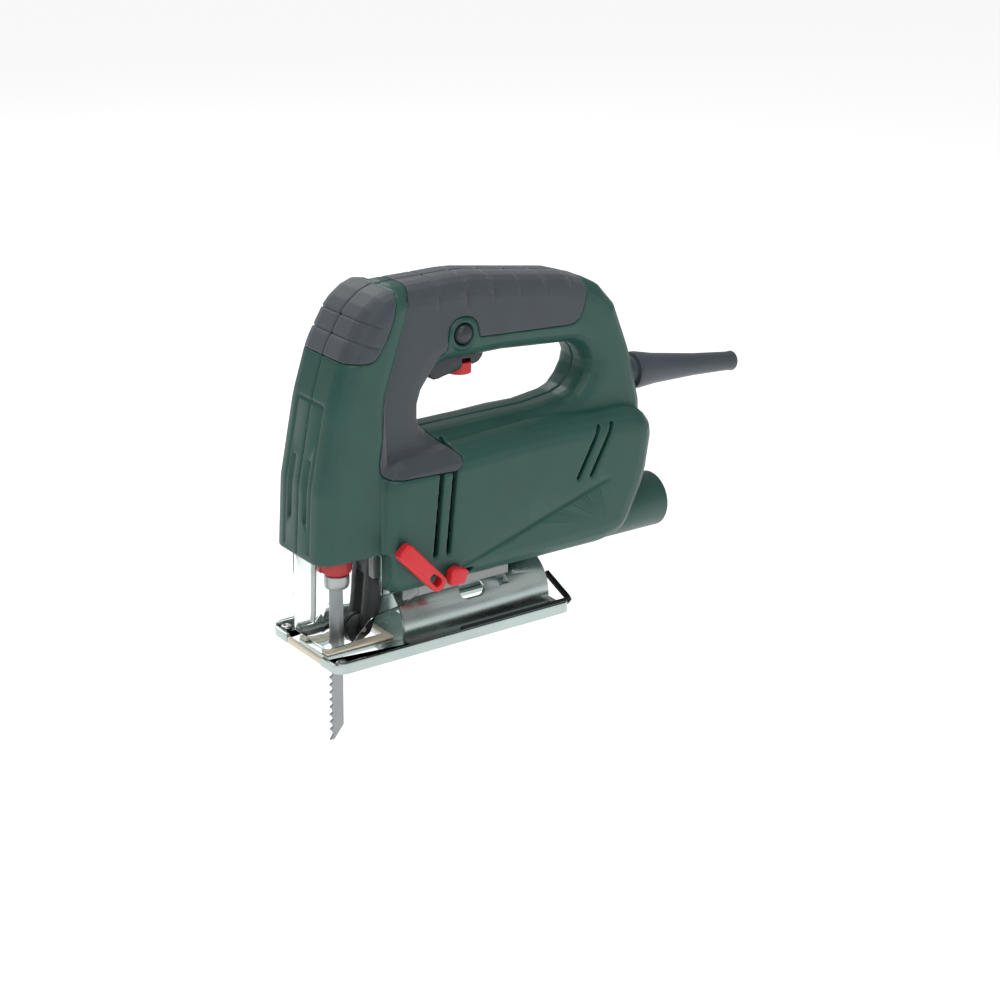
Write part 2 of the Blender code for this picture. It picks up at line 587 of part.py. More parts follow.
def make_guide():
    """Swinging fork with the grooved roller behind the blade."""
    arms = []
    for side in (-1, 1):
        y = sorted((side * 4.2, side * 8.0))
        arms.append(side_slab("arm", [rounded([(-50, 6, 3), (-43, 5, 3), (-33, 30, 12), (-33, 53, 4), (-43, 53, 4), (-46, 30, 12)])], y))
    bridge = box("bridge", (-43, -33.4), (-8, 8), (40, 52))
    fork = join(bridge, *arms)
    fork = cut(fork, rod("fork_pin_bore", "Y", (-38, 0, 48), 2.6, 40, 14))
    fork = cut(fork, rod("roller_pin_bore", "Y", (-47, 0, 9.5), 1.9, 40, 12))
    rest(fork, "guide_fork", BLUED)
    groove = [(2.2, -3.6), (8.6, -3.6), (8.6, -0.95), (7.6, -0.95), (7.6, 0.95), (8.6, 0.95), (8.6, 3.6), (2.2, 3.6)]
    rest(turned("roller", "Y", (-47.3, 0, 9.5), groove, 28), "guide_roller", BLUED)
    rest(rod("roller_pin", "Y", (-47.0, 0, 9.5), 1.6, 17.2, 12), "roller_pin", STEEL)
    rest(rod("fork_pin", "Y", (-38, 0, 48), 2.3, 27, 12), "fork_pin", STEEL)
    lugs = [box("lug", (-44.5, -31.5), sorted((side * 9, side * 14)), (42.5, 60)) for side in (-1, 1)]
    carrier = join(box("carrier", (-46.5, -29), (-14, 14), (56, 61.7)), *lugs)
    carrier = cut(carrier, rod("carrier_bore", "Y", (-38, 0, 48), 2.6, 40, 14))
    rest(carrier, "fork_carrier", CAST)


# ---------------------------------------------------------------- levers outside the casing

def make_side_levers():
    turn = math.radians(-46)
    length = 29.0
    tip = (LEVER_X + length * math.cos(turn), LEVER_Z + length * math.sin(turn))
    across = Vector((-math.sin(turn), math.cos(turn)))

    def beside(place, by):
        return (place[0] + across.x * by, place[1] + across.y * by)

    root = (LEVER_X, LEVER_Z)
    along = Vector((math.cos(turn), math.sin(turn)))
    back = (root[0] - along.x * 7, root[1] - along.y * 7)
    front = (tip[0] + along.x * 4, tip[1] + along.y * 4)
    outline = [(*beside(back, -5.5), 3), (*beside(front, -5.2), 4.6), (*beside(front, 5.2), 4.6), (*beside(back, 5.5), 3)]
    lever = side_slab("lever", [rounded(outline)], (-41.2, -34.6), 1.2)
    eye_a = (tip[0] - along.x * 9, tip[1] - along.y * 9)
    eye = [(*beside(eye_a, -2.4), 2), (*beside(tip, -2.9), 2.4), (*beside(tip, 2.9), 2.4), (*beside(eye_a, 2.4), 2)]
    lever = cut(lever, side_slab("eye", [rounded(eye)], (-50, -30)))
    lever = join(lever, rod("lever_stem", "Y", (LEVER_X, -30, LEVER_Z), 3.2, 12, 14))
    rest(lever, "pendulum_lever", RED)
    knob = side_slab("knob", [rounded([(-7.5, 38, 2), (2.5, 38, 2), (5.5, 46, 2), (-3, 49, 2), (-7.5, 47, 2)])], (-40, -34), 1)
    stem = box("stem", (-5, 3), (-35, -29.5), (40.4, 43.1))
    rest(join(knob, stem), "blower_slider", RED)


# ---------------------------------------------------------------- guard and base

def make_guards():
    front, half, thick = -79.6, GUARD_HALF, 1.5

    def shell(name, inset):
        sides = [(front + inset, -half + inset, 6 - inset), (-10, -half + inset, 0), (-10, half - inset, 0), (front + inset, half - inset, 6 - inset)]
        slab = side_slab(name, [rounded(sides)], (0, 60))
        slab.data.transform(Matrix.Translation((0, 0, 8.5 * MM)) @ Matrix.Rotation(math.pi / 2, 4, "X"))
        return slab

    guard = shell("guard", 0)
    hollow = shell("guard_hollow", thick)
    hollow.data.transform(Matrix.Translation((0.0, 0, 0)) @ Matrix.Diagonal((1, 1, 4, 1)) @ Matrix.Translation((0, 0, -0.02)))
    guard = cut(guard, hollow)
    keep_area = [(-90, 8.6, 0), (-62, 9.5, 4), (-50, 22, 8), (-28, 25, 3), (-17, 29, 2), (-16.5, 33.8, 1), (-42.6, 34, 0), (-42.6, 61.3, 4), (-90, 61.3, 0)]
    guard = common(guard, area("guard_area", keep_area))
    rest(guard, "chip_guard", CLEAR)
    wire = [(-75.4, 0, 61.6), (-75.4, 0, 24), (-76.2, 0, 19)]
    rest(tube_along("finger_rod", wire, 1.5, 2), "finger_guard", STEEL)


def rail_outline(side):
    """Edge rail of the base plate, seen from the front."""
    outer, inner = side * BASE_WIDTH / 2, side * (BASE_WIDTH / 2 - RAIL_WALL)
    return sorted((inner, outer))


def make_base():
    half = BASE_LENGTH / 2
    web = box("web", (-half, half), (-BASE_WIDTH / 2, BASE_WIDTH / 2), (0, WEB))
    rails = [box("rail", (-half, half), rail_outline(side), (0.5, RAIL_HEIGHT)) for side in (-1, 1)]
    lips = [box("lip", (-half, -half + 2.4), sorted((side * 19, side * 36.5)), (0.5, 5.2)) for side in (-1, 1)]
    plate = join(web, *rails, *lips)
    u_slot = box("guard_slot", (-80.4, -44), (-26.8, 26.8), (-5, 12))
    tongue = box("tongue", (-76.6, -10), (-15.6, 15.6), (-6, 14))
    plate = cut(plate, cut(u_slot, tongue))
    blade_slot = box("blade_opening", (-70, -34), (-8.9, 8.9), (-5, 12))
    front_gap = box("front_gap", (-90, -79), (-18.7, 18.7), (-5, 12))
    window = box("barrel_window", (-8, 68), (-18, 18), (-5, 6))
    clip_holes = [rod("clip_hole", "Z", (x, side * 29, 0), 2.2, 20, 12) for side in (-1, 1) for x in (10, 60)]
    plate = cut(plate, blade_slot, front_gap, window, *clip_holes)
    corners = [(-half, -37, 7), (half, -37, 5), (half, 37, 5), (-half, 37, 7)]
    edge = side_slab("edge", [rounded(corners)], (-20, 20))
    edge.data.transform(Matrix.Rotation(-math.pi / 2, 4, "X"))
    rest(common(plate, edge), "base_plate", ZINC)
    make_barrel()
    top = box("insert", (-76.4, -31), (-15.4, 15.4), (WEB + GAP, WEB + 1.9))
    rest(cut(top, box("insert_slot", (-80, -34.6), (-8.7, 8.7), (0, 10))), "sole_insert", CREAM)
    rest(box("strip", (-half, -80.6), (-18.4, 18.4), (0.2, 4.0), 0.4), "sole_front_strip", CREAM)
    for side, word in ((-1, "left"), (1, "right")):
        head = turned("bolt", "Z", (-76.2, side * 30.6, WEB), [(0, GAP), (3.6, GAP), (3.6, 2.1), (2.9, 2.8), (0, 2.8)], 18)
        socket = rod("socket", "Z", (-76.2, side * 30.6, WEB + 3.2), 1.7, 2.4, 6)
        rest(cut(head, socket), f"base_bolt_{word}", ZINC)
    make_key()


def make_barrel():
    """Half tube under the body, which the base tilts round."""
    x0, x1 = BARREL_X
    outer = rod("barrel", "X", ((x0 + x1) / 2, 0, TILT_Z), BARREL_R, x1 - x0, 48)
    skirt = box("skirt", (x0, x1), (-BARREL_R, BARREL_R), (WEB + GAP, TILT_Z))
    outer = join(outer, skirt)
    bore = rod("barrel_bore", "X", ((x0 + x1) / 2, 0, TILT_Z), BARREL_R - BARREL_WALL, 2 * (x1 - x0), 48)
    below = box("below", (x0 - 9, x1 + 9), (-BARREL_R + BARREL_WALL, BARREL_R - BARREL_WALL), (-20, TILT_Z))
    low = box("low", (x0 - 9, x1 + 9), (-40, 40), (-40, WEB + GAP))
    tube = cut(outer, bore, below, low)
    feet = [box("foot", (x0, x1), sorted((side * 22.5, side * 30)), (WEB + GAP, WEB + 1.8)) for side in (-1, 1)]
    tube = join(tube, *feet)
    nose = box("nose_clear", (x0 - 5, -29), (-40, 40), (-20, 60))
    side_slot = side_slab("slot", [rounded([(13, 18, 4.4), (31, 18, 4.4), (31, 27, 4.4), (13, 27, 4.4)])], (-40, 40))
    arc_slot = box("arc_slot", (41.5, 48.5), (-40, 40), (TILT_Z + 13, 60))
    tube = cut(tube, nose, side_slot, arc_slot)
    stud = rod("stud", "Z", (56, 0, TILT_Z + BARREL_R + 0.6), 3.3, 2.2, 6)
    lean = Matrix.Translation((0, 0, TILT_Z * MM)) @ Matrix.Rotation(math.radians(38), 4, "X") @ Matrix.Translation((0, 0, -TILT_Z * MM))
    stud.data.transform(lean)
    rest(join(tube, stud), "tilt_barrel", ZINC)
    saddle = box("saddle", (-26, 70), (-16.5, 16.5), (25, BODY_BOTTOM - GAP))
    saddle = cut(saddle, rod("saddle_bore", "X", (20, 0, TILT_Z), BARREL_R + 0.35, 200, 48))
    saddle = cut(saddle, rod("clamp_thread", "Z", (45, 0, 30), 2.9, 30, 14), box("stud_way", (50.5, 60.5), (-20, 20), (20, 40)))
    rest(largest(saddle), "base_saddle", CAST)
    rest(turned("clamp_screw", "Z", (45, 0, 0), [(0, 21.4), (4.6, 21.4), (4.6, 27.0), (2.6, 27.0), (2.6, 34.0), (0, 34.0)], 18), "base_clamp_screw", STEEL)


def make_key():
    """Hex key clipped along the near rail, its short leg rising behind."""
    y, z, bend = KEY_Y, WEB + 2.6, 87.0
    corner = [(bend - 4 + 4 * math.sin(a), y + 4 - 4 * math.cos(a), z) for a in [math.radians(22.5 * i) for i in range(1, 4)]]
    points = [(6, y, z), (40, y, z), (bend - 4, y, z), *corner, (bend, y + 4, z + 0.4), (bend, y + 25, z + 9)]
    rest(tube_along("key", points, 2.1, 1), "allen_key", BLUED)


# ---------------------------------------------------------------- joints

BODY_PIECES = {
    "tilt_axis": ((0, 0, TILT_Z), ["base_plate", "tilt_barrel", "sole_insert", "sole_front_strip", "base_bolt_left",
                                   "base_bolt_right"]),
    "key_slide": ((6, KEY_Y, WEB + 2.6), ["allen_key"]),
    "armature_axis": ((0, 0, MOTOR_Z), ["armature_shaft", "armature_core", "armature_winding",
                                        "commutator", "cooling_fan"]),
    "crank_axis": ((-49, 0, GEAR_Z), ["crank_gear"]),
    "plunger_slide": ((PLUNGER_X, 0, 105), ["plunger", "blade_clamp", "saw_blade"]),
    "clamp_lever_axis": ((PLUNGER_X, 0, 51), ["clamp_lever"]),
    "fork_axis": ((-38, 0, 48), ["guide_fork", "roller_pin"]),
    "roller_axis": ((-47.3, 0, 9.5), ["guide_roller"]),
    "trigger_axis": ((-2.5, 0, 171), ["trigger", "trigger_spring"]),
    "speed_wheel_axis": ((24, 0, 155.5), ["speed_wheel"]),
    "lock_slide": ((LOCK_X, -19, LOCK_Z), ["lock_button"]),
    "pendulum_axis": ((LEVER_X, -38, LEVER_Z), ["pendulum_lever"]),
    "blower_slide": ((-1, -37, 42), ["blower_slider"]),
}


def hang_on_axes():
    """Parents each moving group to an empty that stands on its joint axis."""
    for name, (place, pieces) in BODY_PIECES.items():
        axis = bpy.data.objects.new(name, None)
        PARTS.objects.link(axis)
        axis.location = Vector(place) * MM
        for piece in pieces:
            obj = bpy.data.objects[piece]
            obj.data.transform(Matrix.Translation(-axis.location))
            obj.parent = axis


def main():
    for obj in list(bpy.data.objects):
        bpy.data.objects.remove(obj)
    scene = bpy.context.scene
    scene.collection.children.link(PARTS)
    scene.collection.children.link(CUTTERS)
    make_housing()
    make_housing_screws()
    make_controls()
    make_cable_entry()
    make_port()
    make_motor()
    make_gearing()
    make_blade_drive()
    make_guide()
    make_side_levers()
    make_guards()
    make_base()
    hang_on_axes()
    bpy.context.view_layer.update()


main()
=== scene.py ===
"""Looks of a closed-handle jigsaw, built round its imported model."""

import json
import math

import bmesh
import bpy
from mathutils import Matrix, Vector


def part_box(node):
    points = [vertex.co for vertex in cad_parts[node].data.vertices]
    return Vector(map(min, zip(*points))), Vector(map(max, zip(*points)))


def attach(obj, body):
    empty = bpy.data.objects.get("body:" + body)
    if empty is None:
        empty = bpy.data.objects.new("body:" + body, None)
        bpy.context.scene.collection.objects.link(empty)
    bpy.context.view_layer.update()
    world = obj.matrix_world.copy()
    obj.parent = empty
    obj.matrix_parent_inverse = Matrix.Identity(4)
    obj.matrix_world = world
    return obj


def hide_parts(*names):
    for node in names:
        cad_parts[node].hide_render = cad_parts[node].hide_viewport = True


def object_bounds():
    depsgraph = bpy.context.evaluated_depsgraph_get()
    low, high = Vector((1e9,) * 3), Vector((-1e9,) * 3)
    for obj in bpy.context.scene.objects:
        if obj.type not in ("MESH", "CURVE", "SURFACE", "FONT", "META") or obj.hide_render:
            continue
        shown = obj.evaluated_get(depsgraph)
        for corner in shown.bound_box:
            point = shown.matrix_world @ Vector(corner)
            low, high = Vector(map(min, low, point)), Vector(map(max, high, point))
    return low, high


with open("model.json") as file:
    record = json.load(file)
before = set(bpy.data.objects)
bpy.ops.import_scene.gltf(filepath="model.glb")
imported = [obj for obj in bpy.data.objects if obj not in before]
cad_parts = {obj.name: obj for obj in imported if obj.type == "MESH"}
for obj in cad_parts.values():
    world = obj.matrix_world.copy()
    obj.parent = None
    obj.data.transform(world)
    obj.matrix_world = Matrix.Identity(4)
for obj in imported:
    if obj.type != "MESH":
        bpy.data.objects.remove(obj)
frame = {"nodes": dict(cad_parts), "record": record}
cad_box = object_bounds()

# ---------------------------------------------------------------- camera
# The tool is seen from its near side, in front of the blade and well above the table,
# through a moderately long lens, so that the base narrows only a little towards the back.

AIM = Vector((0.0556, 0.0, 0.0661))
DISTANCE = 1.25
AZIMUTH, ELEVATION, ROLL = (math.radians(angle) for angle in (-36.54, 20.59, 1.12))
LENS_MM, SENSOR_MM = 74.8, 36.0
CLIP_NEAR, CLIP_FAR = 0.05, 50.0

backwards = Vector((
    math.sin(AZIMUTH) * math.cos(ELEVATION),
    -math.cos(AZIMUTH) * math.cos(ELEVATION),
    math.sin(ELEVATION),
))
level = Vector((math.cos(AZIMUTH), math.sin(AZIMUTH), 0.0))
upright = backwards.cross(level)
right = level * math.cos(ROLL) + upright * math.sin(ROLL)
top = backwards.cross(right)
camera_data = bpy.data.cameras.new("camera")
camera_data.lens = LENS_MM
camera_data.sensor_width = SENSOR_MM
camera_data.clip_start = CLIP_NEAR
camera_data.clip_end = CLIP_FAR
camera = bpy.data.objects.new("camera", camera_data)
bpy.context.scene.collection.objects.link(camera)
turned = Matrix((right, top, backwards)).transposed().to_4x4()
camera.matrix_world = Matrix.Translation(AIM + backwards * DISTANCE) @ turned
bpy.context.scene.camera = camera

# ---------------------------------------------------------------- studio floor
# White floor just under the blade's tip. It glows a little, so that it stays white far
# behind the tool, where the lamps do not reach.

WHITE = (1.0, 1.0, 1.0, 1.0)
FLOOR_HALF, FLOOR_DROP = 6.0, 0.0005
FLOOR_GREY = (0.55, 0.55, 0.55, 1.0)
FLOOR_ROUGHNESS, FLOOR_GLOW = 0.6, 0.75

floor_look = bpy.data.materials.new("studio_white")
floor_look.use_nodes = True
floor_shader = floor_look.node_tree.nodes["Principled BSDF"]
floor_shader.inputs["Base Color"].default_value = FLOOR_GREY
floor_shader.inputs["Roughness"].default_value = FLOOR_ROUGHNESS
floor_shader.inputs["Emission Color"].default_value = WHITE
floor_shader.inputs["Emission Strength"].default_value = FLOOR_GLOW

floor_mesh = bmesh.new()
bmesh.ops.create_grid(floor_mesh, x_segments=1, y_segments=1, size=FLOOR_HALF)
bmesh.ops.translate(floor_mesh, verts=floor_mesh.verts, vec=(0, 0, cad_box[0][2] - FLOOR_DROP))
floor_data = bpy.data.meshes.new("studio_floor")
floor_mesh.to_mesh(floor_data)
floor_mesh.free()
floor_data.materials.append(floor_look)
floor = bpy.data.objects.new("studio_floor", floor_data)
bpy.context.scene.collection.objects.link(floor)

# ---------------------------------------------------------------- lamps
# Soft boxes: the key from the front left, a weak fill from the right, one behind for a light
# edge along the handle and one overhead, in a dim white room. Each row is a name, a place
# and a side in metres, and a power in watts.

SOFT_BOXES = [
    ("key", (-0.9, -1.1, 1.3), 0.9, 9.0),
    ("fill", (1.3, -1.2, 0.8), 1.2, 1.6),
    ("rim", (0.2, 1.3, 1.2), 0.8, 8.0),
    ("overhead", (0.05, 0.0, 1.6), 0.7, 7.0),
]
LIT_POINT = Vector((0.04, 0.0, 0.08))
ROOM_LIGHT = 0.3

for name, place, side_m, watts in SOFT_BOXES:
    lamp = bpy.data.lights.new(name, "AREA")
    lamp.size = side_m
    lamp.energy = watts
    stand = bpy.data.objects.new(name, lamp)
    stand.location = place
    stand.rotation_euler = (LIT_POINT - Vector(place)).to_track_quat("-Z", "Y").to_euler()
    bpy.context.scene.collection.objects.link(stand)

room = bpy.data.worlds.new("studio")
room.use_nodes = True
room.node_tree.nodes["Background"].inputs["Color"].default_value = WHITE
room.node_tree.nodes["Background"].inputs["Strength"].default_value = ROOM_LIGHT
bpy.context.scene.world = room
bpy.context.scene.view_settings.view_transform = "Standard"

# ---------------------------------------------------------------- moulded casing
# Two glass-filled nylon shells that meet on the centre line. They are moulded with a fine
# spark-eroded grain, and every edge that a hand meets is well rounded.

MM = 0.001
WELD_M = 2e-6
CASING_CELL_MM, CASING_ROUNDS, CASING_SHARE = 0.8, 5, 0.45
TONE_LOW, TONE_HIGH = 0.3, 0.7  # where on the noise the darkest and lightest colours lie
FACING = 0.6  # how squarely a surface must face a way to take the details on that side

CREASE_FOOT, CREASE_HEAD = Vector((-4.0, 43.0)), Vector((116.0, 80.0))
CREASE_RUN = CREASE_HEAD - CREASE_FOOT
CREASE_HALF, CREASE_DEPTH, CREASE_FADES = 1.5, 1.0, 12
PANEL_HALF, PANEL_LOW, PANEL_TOP = 13.0, 66.0, 152.0
PANEL_LINE_HALF, PANEL_LINE_DEPTH = 1.1, 0.8
POCKET_Y, POCKET_HALF, POCKET_LOW, POCKET_TOP = 8.0, 1.7, 84.0, 120.0
POCKET_DEPTH, POCKET_EDGE = 2.4, 0.5
FRONT_X = -66.0


def uneven(tree, noise, colours, roughnesses):
    """Lets one noise vary a Principled shader's colour and gloss between two values of each."""
    shader = tree.nodes["Principled BSDF"]
    tone = tree.nodes.new("ShaderNodeValToRGB")
    for stop, place, colour in zip(tone.color_ramp.elements, (TONE_LOW, TONE_HIGH), colours):
        stop.position = place
        stop.color = (*colour, 1.0)
    gloss = tree.nodes.new("ShaderNodeMapRange")
    gloss.inputs["To Min"].default_value, gloss.inputs["To Max"].default_value = roughnesses
    tree.links.new(noise.outputs["Fac"], tone.inputs["Fac"])
    tree.links.new(tone.outputs["Color"], shader.inputs["Base Color"])
    tree.links.new(noise.outputs["Fac"], gloss.inputs["Value"])
    tree.links.new(gloss.outputs["Result"], shader.inputs["Roughness"])


def noise_on(tree, places, scale, detail):
    """Noise texture of a scale per metre, read at an output's places."""
    noise = tree.nodes.new("ShaderNodeTexNoise")
    noise.inputs["Scale"].default_value = scale
    noise.inputs["Detail"].default_value = detail
    tree.links.new(places, noise.inputs["Vector"])
    return noise


def raised(tree, noise, relief_mm, strength):
    """Lets a noise raise the surface."""
    bump = tree.nodes.new("ShaderNodeBump")
    bump.inputs["Distance"].default_value = relief_mm * MM
    bump.inputs["Strength"].default_value = strength
    tree.links.new(noise.outputs["Fac"], bump.inputs["Height"])
    tree.links.new(bump.outputs["Normal"], tree.nodes["Principled BSDF"].inputs["Normal"])


def grained(name, colour, roughness, grain_mm, relief_mm, mottle=0.08, sheen=0.0):
    """Moulded or rubbery finish: fine raised grain, slightly uneven gloss and colour."""
    made = bpy.data.materials.new(name)
    made.use_nodes = True
    tree = made.node_tree
    places = tree.nodes.new("ShaderNodeTexCoord").outputs["Object"]
    raised(tree, noise_on(tree, places, 1.0 / (grain_mm * MM), 3.0), relief_mm, 0.5)
    darker = [channel * (1 - mottle) for channel in colour]
    lighter = [channel * (1 + mottle) for channel in colour]
    cloud = noise_on(tree, places, 45.0, 4.0)
    uneven(tree, cloud, (darker, lighter), (roughness - 0.06, roughness + 0.08))
    if sheen:
        shader = tree.nodes["Principled BSDF"]
        shader.inputs["Sheen Weight"].default_value = sheen
        shader.inputs["Sheen Roughness"].default_value = 0.5
    return made


def copy_of_node(node, name):
    """Separate piece with a CAD node's shape, its loose triangles joined up."""
    data = frame["nodes"][node].data.copy()
    data.materials.clear()
    shape = bmesh.new()
    shape.from_mesh(data)
    bmesh.ops.remove_doubles(shape, verts=shape.verts, dist=WELD_M)
    shape.to_mesh(data)
    shape.free()
    piece = bpy.data.objects.new(name, data)
    bpy.context.scene.collection.objects.link(piece)
    return piece


def settled(piece):
    """Takes the result of the piece's modifiers as its mesh."""
    graph = bpy.context.evaluated_depsgraph_get()
    data = bpy.data.meshes.new_from_object(piece.evaluated_get(graph))
    piece.modifiers.clear()
    piece.data = data
    return piece


def pressed(piece, depth_at):
    """Sinks the surface by depth_at(point in mm, normal) millimetres, for grooves and pockets."""
    shape = bmesh.new()
    shape.from_mesh(piece.data)
    shape.normal_update()
    moves = []
    for point in shape.verts:
        depth = depth_at(point.co / MM, point.normal)
        if depth > 0:
            moves.append((point, point.normal * depth * MM))
    for point, move in moves:
        point.co -= move
    shape.to_mesh(piece.data)
    shape.free()


def hollow_line(distance, half_width):
    """Rounded groove section: 1 on the line, 0 beyond its half width."""
    share = max(0.0, 1.0 - abs(distance) / half_width)
    return share * (2.0 - share)


def smooth_shaded(piece):
    for face in piece.data.polygons:
        face.use_smooth = True


def softened(piece, cell_mm, rounds, depth_at, share):
    """Rounds off every edge, as a mould does, presses the details in and thins the mesh."""
    cells = piece.modifiers.new("cells", "REMESH")
    cells.mode = "VOXEL"
    cells.voxel_size = cell_mm * MM
    cells.use_smooth_shade = True
    smooth = piece.modifiers.new("smooth", "SMOOTH")
    smooth.factor = 0.5
    smooth.iterations = rounds
    settled(piece)
    pressed(piece, depth_at)
    thin = piece.modifiers.new("thin", "DECIMATE")
    thin.ratio = share
    settled(piece)
    smooth_shaded(piece)
    return piece


def crease_depth(point):
    """Long straight crease that rises towards the back, fading out at both ends."""
    off = Vector((point.x, point.z)) - CREASE_FOOT
    along = off.dot(CREASE_RUN) / CREASE_RUN.length_squared
    if not 0 < along < 1:
        return None
    beside = off.cross(CREASE_RUN) / CREASE_RUN.length
    fade = min(1.0, CREASE_FADES * along, CREASE_FADES * (1 - along))
    return CREASE_DEPTH * hollow_line(beside, CREASE_HALF) * fade


def front_depth(point):
    """Outline of the front panel, and the two upright pockets in it."""
    from_pocket = abs(abs(point.y) - POCKET_Y)
    if POCKET_LOW < point.z < POCKET_TOP and from_pocket < POCKET_HALF:
        return POCKET_DEPTH * min(1.0, (POCKET_HALF - from_pocket) / POCKET_EDGE)
    depth = 0.0
    if PANEL_LOW < point.z < PANEL_TOP:
        depth = hollow_line(abs(point.y) - PANEL_HALF, PANEL_LINE_HALF)
    if abs(point.y) < PANEL_HALF:
        depth = max(depth, hollow_line(point.z - PANEL_TOP, PANEL_LINE_HALF))
    return PANEL_LINE_DEPTH * depth


def casing_depth(point, normal):
    """Crease on each outer side, and the details of the front."""
    if abs(normal.y) > FACING and normal.y * point.y > 0:
        depth = crease_depth(point)
        if depth is not None:
            return depth
    if normal.x < -FACING and point.x < FRONT_X:
        return front_depth(point)
    return 0.0


GREEN = grained("green_casing", (0.016, 0.078, 0.062), 0.42, 0.55, 0.05)
for side in ("left", "right"):
    shell = copy_of_node(f"housing_{side}", f"casing_{side}")
    softened(shell, CASING_CELL_MM, CASING_ROUNDS, casing_depth, CASING_SHARE)
    shell.data.materials.append(GREEN)
    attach(shell, "housing")
    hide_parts(f"housing_{side}")

# ---------------------------------------------------------------- soft grips and front cap
# Rubber moulded over the shells where the hand goes, in beds as deep as the rubber is thick.
# The surface is matt, with a coarser grain than the casing, and grooves give the hand hold.

RUBBER_CELL_MM, RUBBER_ROUNDS, RUBBER_SHARE = 0.6, 5, 0.4
GROOVE_HALF, GROOVE_DEPTH, GROOVE_FADE = 1.0, 0.9, 6.0
CAP_GROOVES = (188.0, 200.0)  # heights at x = CAP_PIVOT_X
CAP_PIVOT_X, CAP_SLOPE, CAP_GROOVE_END = -60.0, 0.35, -44.0
GRIP_GROOVES = (-3.0, 16.0, 35.0, 54.0, 73.0, 92.0)  # places along the handle
GRIP_GROOVE_FOOT = 196.0
CAP_BACK, GRIP_UNDER = 0.5, -0.3  # past these normals a surface is the inner one


def faded(distance):
    """0 where a groove ends, rising to 1 further in."""
    return min(1.0, max(0.0, distance / GROOVE_FADE))


def cap_depth(point, normal):
    """Two grooves round the front of the cap, fading out along its sides."""
    if normal.x > CAP_BACK:
        return 0.0
    height = point.z + CAP_SLOPE * (point.x - CAP_PIVOT_X)
    groove = max(hollow_line(height - groove_height, GROOVE_HALF) for groove_height in CAP_GROOVES)
    return GROOVE_DEPTH * faded(CAP_GROOVE_END - point.x) * groove


def grip_depth(point, normal):
    """Grooves across the top of the handle, fading out down its sides."""
    if normal.z <= GRIP_UNDER:
        return 0.0
    groove = max(hollow_line(point.x - groove_x, GROOVE_HALF) for groove_x in GRIP_GROOVES)
    return GROOVE_DEPTH * faded(point.z - GRIP_GROOVE_FOOT) * groove


GRIP = grained("grip_rubber", (0.042, 0.055, 0.068), 0.55, 0.8, 0.09, 0.1, 0.25)
for side in ("left", "right"):
    for node, depth_at in ((f"handle_grip_{side}", grip_depth), (f"front_grip_{side}", cap_depth)):
        pad = copy_of_node(node, f"rubber_{node}")
        softened(pad, RUBBER_CELL_MM, RUBBER_ROUNDS, depth_at, RUBBER_SHARE)
        pad.data.materials.append(GRIP)
        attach(pad, "housing")
        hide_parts(node)

# ---------------------------------------------------------------- base plate
# Pressed steel shoe with turned-up rails, zinc plated, under a half-round rolled tube
# that lets it tilt. Cream plastic lies in the front of it so that it does not mark the work.

FLAT_WITHIN, CORNER_OVER, SHARP_OVER = (math.radians(angle) for angle in (0.6, 38.0, 32.0))

body_of = {
    node: body
    for body, group in frame["record"]["behaviour"]["bodies"].items()
    for node in group
}
slot_of = {part["node"]: part["material_slot"] for part in frame["record"]["subparts"]}


def metal(name, colour, roughness, streak_mm, relief_mm, stretch=(1.0, 1.0, 1.0)):
    """Bare or plated metal: uneven streaks and a faint relief, drawn out one way if asked."""
    made = bpy.data.materials.new(name)
    made.use_nodes = True
    tree = made.node_tree
    tree.nodes["Principled BSDF"].inputs["Metallic"].default_value = 1.0
    drawn = tree.nodes.new("ShaderNodeMapping")
    drawn.inputs["Scale"].default_value = stretch
    place = tree.nodes.new("ShaderNodeTexCoord")
    tree.links.new(place.outputs["Object"], drawn.inputs["Vector"])
    streak = noise_on(tree, drawn.outputs["Vector"], 1.0 / (streak_mm * MM), 5.0)
    raised(tree, streak, relief_mm, 0.4)
    darker = [channel * 0.88 for channel in colour]
    uneven(tree, streak, (darker, colour), (roughness - 0.08, roughness + 0.12))
    return made


def edged(node, name, look, bevel_mm, steps=2):
    """Stands a finished copy in for a CAD node: flats made whole, corners broken, gloss smooth."""
    piece = copy_of_node(node, name)
    shape = bmesh.new()
    shape.from_mesh(piece.data)
    bmesh.ops.dissolve_limit(
        shape, angle_limit=FLAT_WITHIN, verts=shape.verts, edges=shape.edges
    )
    shape.to_mesh(piece.data)
    shape.free()
    if bevel_mm:
        broken = piece.modifiers.new("broken_edges", "BEVEL")
        broken.width = bevel_mm * MM
        broken.segments = steps
        broken.limit_method = "ANGLE"
        broken.angle_limit = CORNER_OVER
        settled(piece)
    smooth_shaded(piece)
    piece.data.set_sharp_from_angle(angle=SHARP_OVER)
    piece.data.materials.clear()
    piece.data.materials.append(look)
    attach(piece, body_of[node])
    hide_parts(node)


ZINC = metal("zinc_plate", (0.5, 0.58, 0.56), 0.26, 7.0, 0.02, (0.35, 1.0, 1.0))
CREAM = grained("cream_plastic", (0.80, 0.73, 0.58), 0.42, 0.6, 0.03, 0.04)
edged("base_plate", "shoe", ZINC, 0.35)
edged("tilt_barrel", "tilt_tube", ZINC, 0.3)
edged("sole_insert", "cream_insert", CREAM, 0.3)
edged("sole_front_strip", "cream_front", CREAM, 0.3)

# ---------------------------------------------------------------- screws and bolts
# Zinc-plated cross and hexagon socket screws: two hold the cream front down, and six hold
# the shells together. Each head is turned, with a rolled edge.

